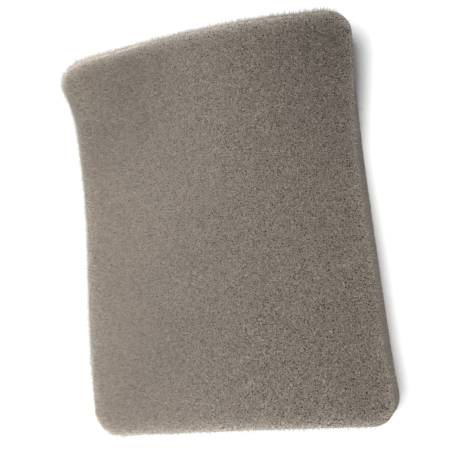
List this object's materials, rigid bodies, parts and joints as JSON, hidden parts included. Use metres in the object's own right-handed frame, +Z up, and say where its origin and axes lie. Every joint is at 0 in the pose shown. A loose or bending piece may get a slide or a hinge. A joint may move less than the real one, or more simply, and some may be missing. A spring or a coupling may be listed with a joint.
{
  "type": "foam air filter element",
  "caption": "Rectangular open-cell foam air filter element with rounded corners, lying flat with one end and one corner curled up a little.",
  "frame": {"origin": "on the surface that the pad lies on, under the middle of its die-cut outline", "axes": "+Y along the pad's length towards its curled end, +X across its width with the more curled corner at -X, +Z up through its thickness"},
  "size_m": [0.065, 0.086, 0.0222],
  "materials": {
    "filter_foam": "fine-pored open-cell polyurethane foam, matte taupe grey-brown"
  },
  "bodies": {
    "root": {"foam_pad": "filter_foam"}
  },
  "joints": []
}
